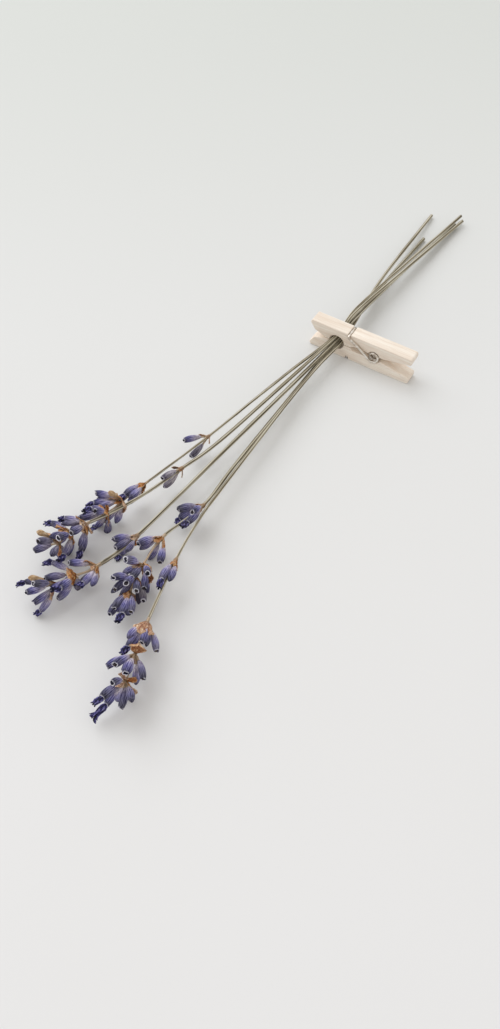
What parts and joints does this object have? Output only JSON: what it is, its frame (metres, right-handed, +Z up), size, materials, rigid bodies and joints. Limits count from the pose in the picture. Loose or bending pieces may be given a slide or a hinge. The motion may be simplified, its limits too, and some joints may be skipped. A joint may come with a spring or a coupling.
{
  "type": "bunch of dried lavender",
  "caption": "Dried lavender stalks with flower spikes, held together in the jaw of a small wooden spring clothespin and lying on a surface.",
  "frame": {"origin": "middle of the flat underside of the clothespin's lower leg, on the surface that the bunch lies on", "axes": "+X along the clothespin towards its handles, +Y along the stalks towards their cut ends, +Z up"},
  "size_m": [0.0595, 0.224, 0.014],
  "materials": {
    "wood": "bare pale birch, sanded smooth",
    "spring_steel": "drawn steel wire, slightly dulled",
    "stalk": "dry olive-beige stem, matt, ridged along its length",
    "flower": "dry violet-blue calyces with papery brown bracts, matt and slightly downy"
  },
  "bodies": {
    "bunch": {"pin_lower_leg": "wood", "pin_spring": "spring_steel", "stalk_1": "stalk", "stalk_2": "stalk", "stalk_3": "stalk", "stalk_4": "stalk", "stalk_5": "stalk", "low_whorl_1": "flower", "low_whorl_2": "flower", "low_whorl_3": "flower", "low_whorl_4": "flower", "low_whorl_5": "flower", "spike_1": "flower", "spike_2": "flower", "spike_3": "flower", "spike_4": "flower", "spike_5": "flower"},
    "upper_leg": {"pin_upper_leg": "wood"}
  },
  "joints": [
    {"name": "jaw", "type": "hinge", "parent": "bunch", "child": "upper_leg", "pos_m": [0.0049, 0, 0.00505], "axis": [0, 1, 0], "range_deg": [0, 18], "stiffness_Nm_per_rad": 0.01, "springref_deg": -57.3, "deforming": ["pin_spring"]}
  ]
}
